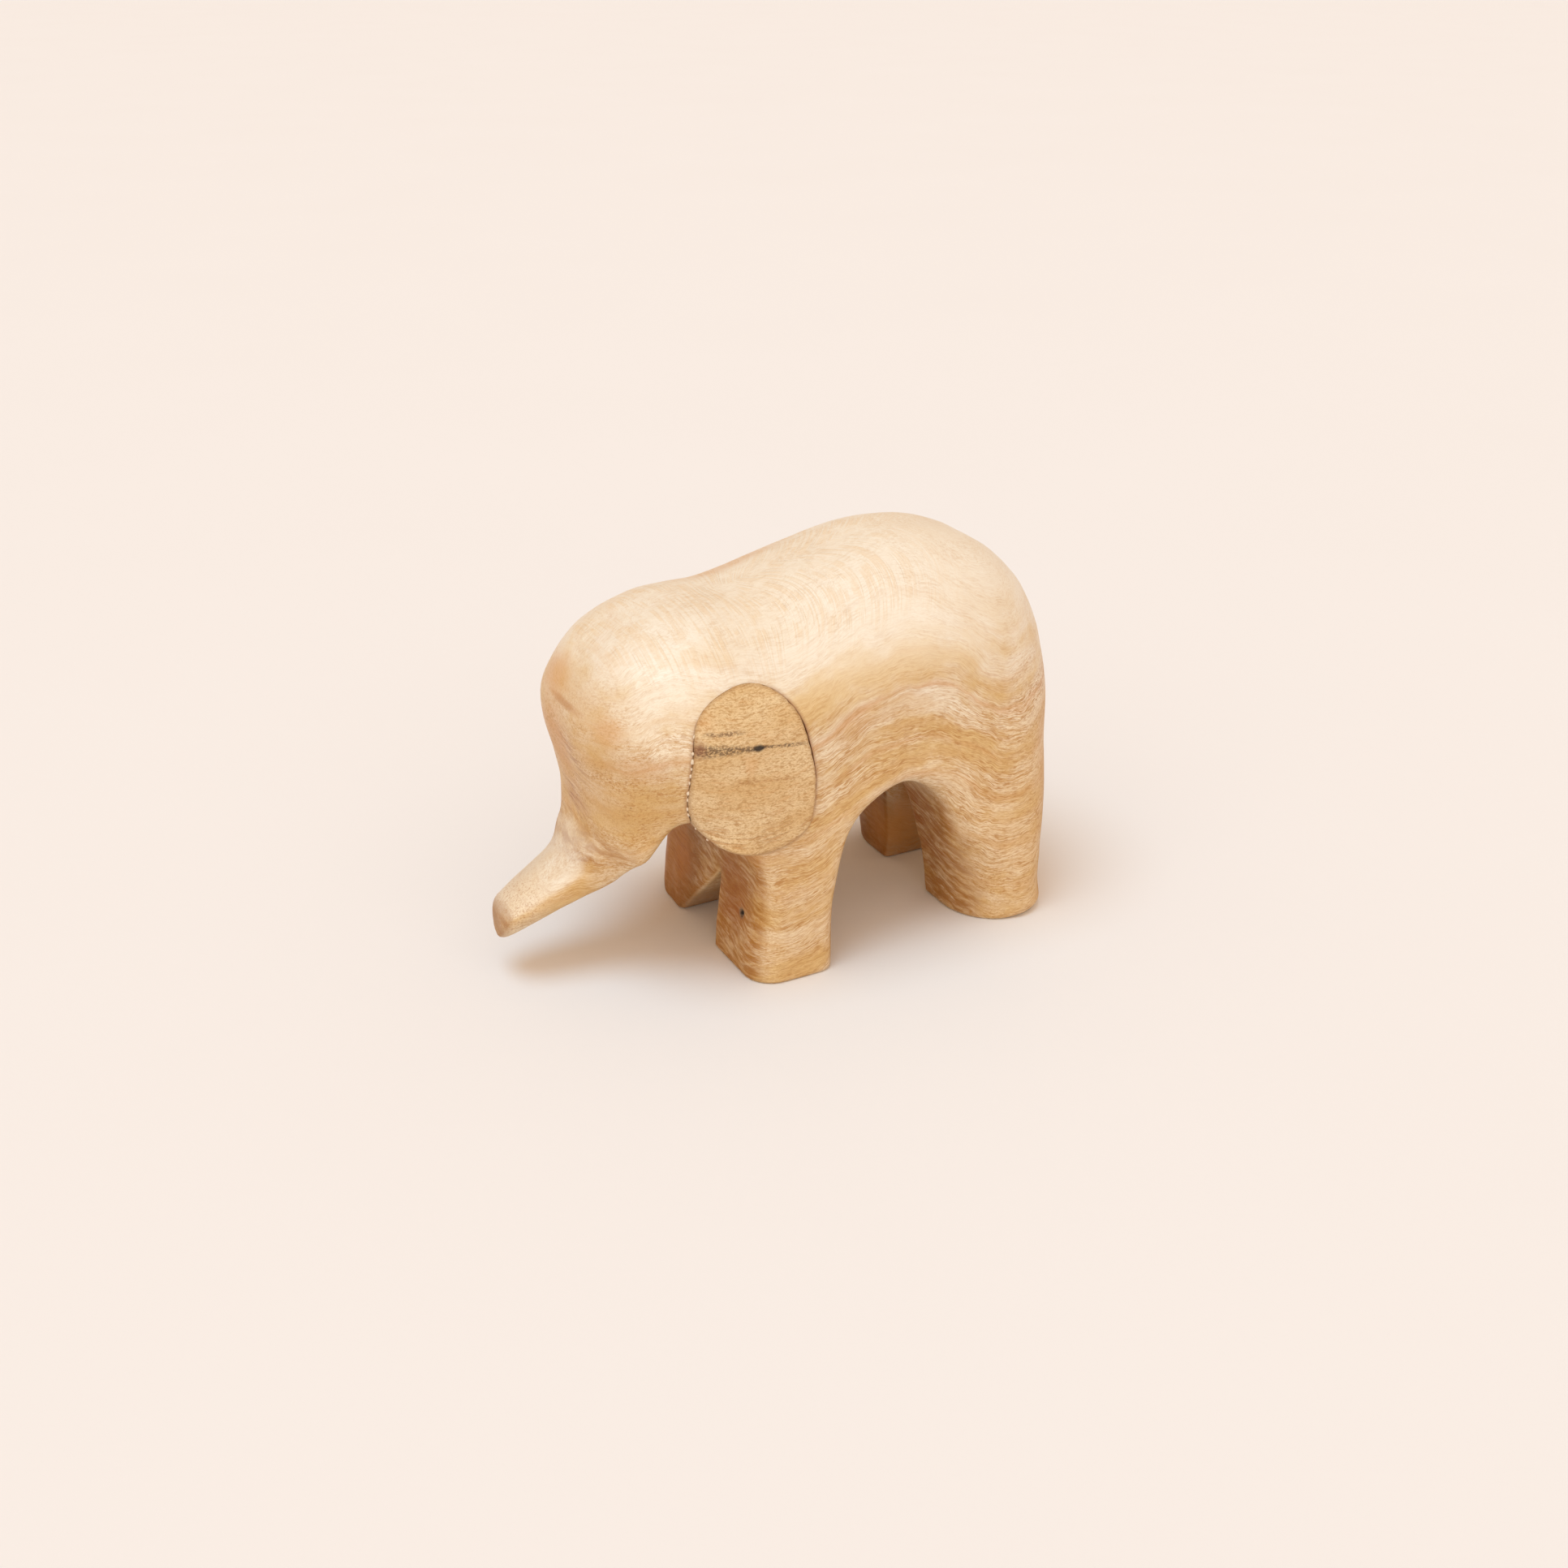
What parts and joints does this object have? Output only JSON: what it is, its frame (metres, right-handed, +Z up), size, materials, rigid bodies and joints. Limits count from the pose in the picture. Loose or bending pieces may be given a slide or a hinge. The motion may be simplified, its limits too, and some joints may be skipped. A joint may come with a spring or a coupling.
{
  "type": "carved wooden elephant",
  "caption": "Small standing elephant carved from one block of pale wood, with a downward-reaching trunk, plain block legs and inlaid wooden ears.",
  "frame": {"origin": "centre of the footprint of the bounding box, on the surface the feet stand on", "axes": "+Z up, -Y towards the trunk and +Y towards the rump, +X towards the elephant's left side"},
  "size_m": [0.0382, 0.076, 0.053],
  "materials": {
    "body_wood": "satin, fine sanded and waxed",
    "ear_wood": "satin, slightly duller",
    "glue": "dried wood glue"
  },
  "bodies": {
    "root": {"carved_body": "body_wood", "left_ear": "ear_wood", "right_ear": "ear_wood", "left_ear_glue_film": "glue", "right_ear_glue_film": "glue"}
  },
  "joints": []
}
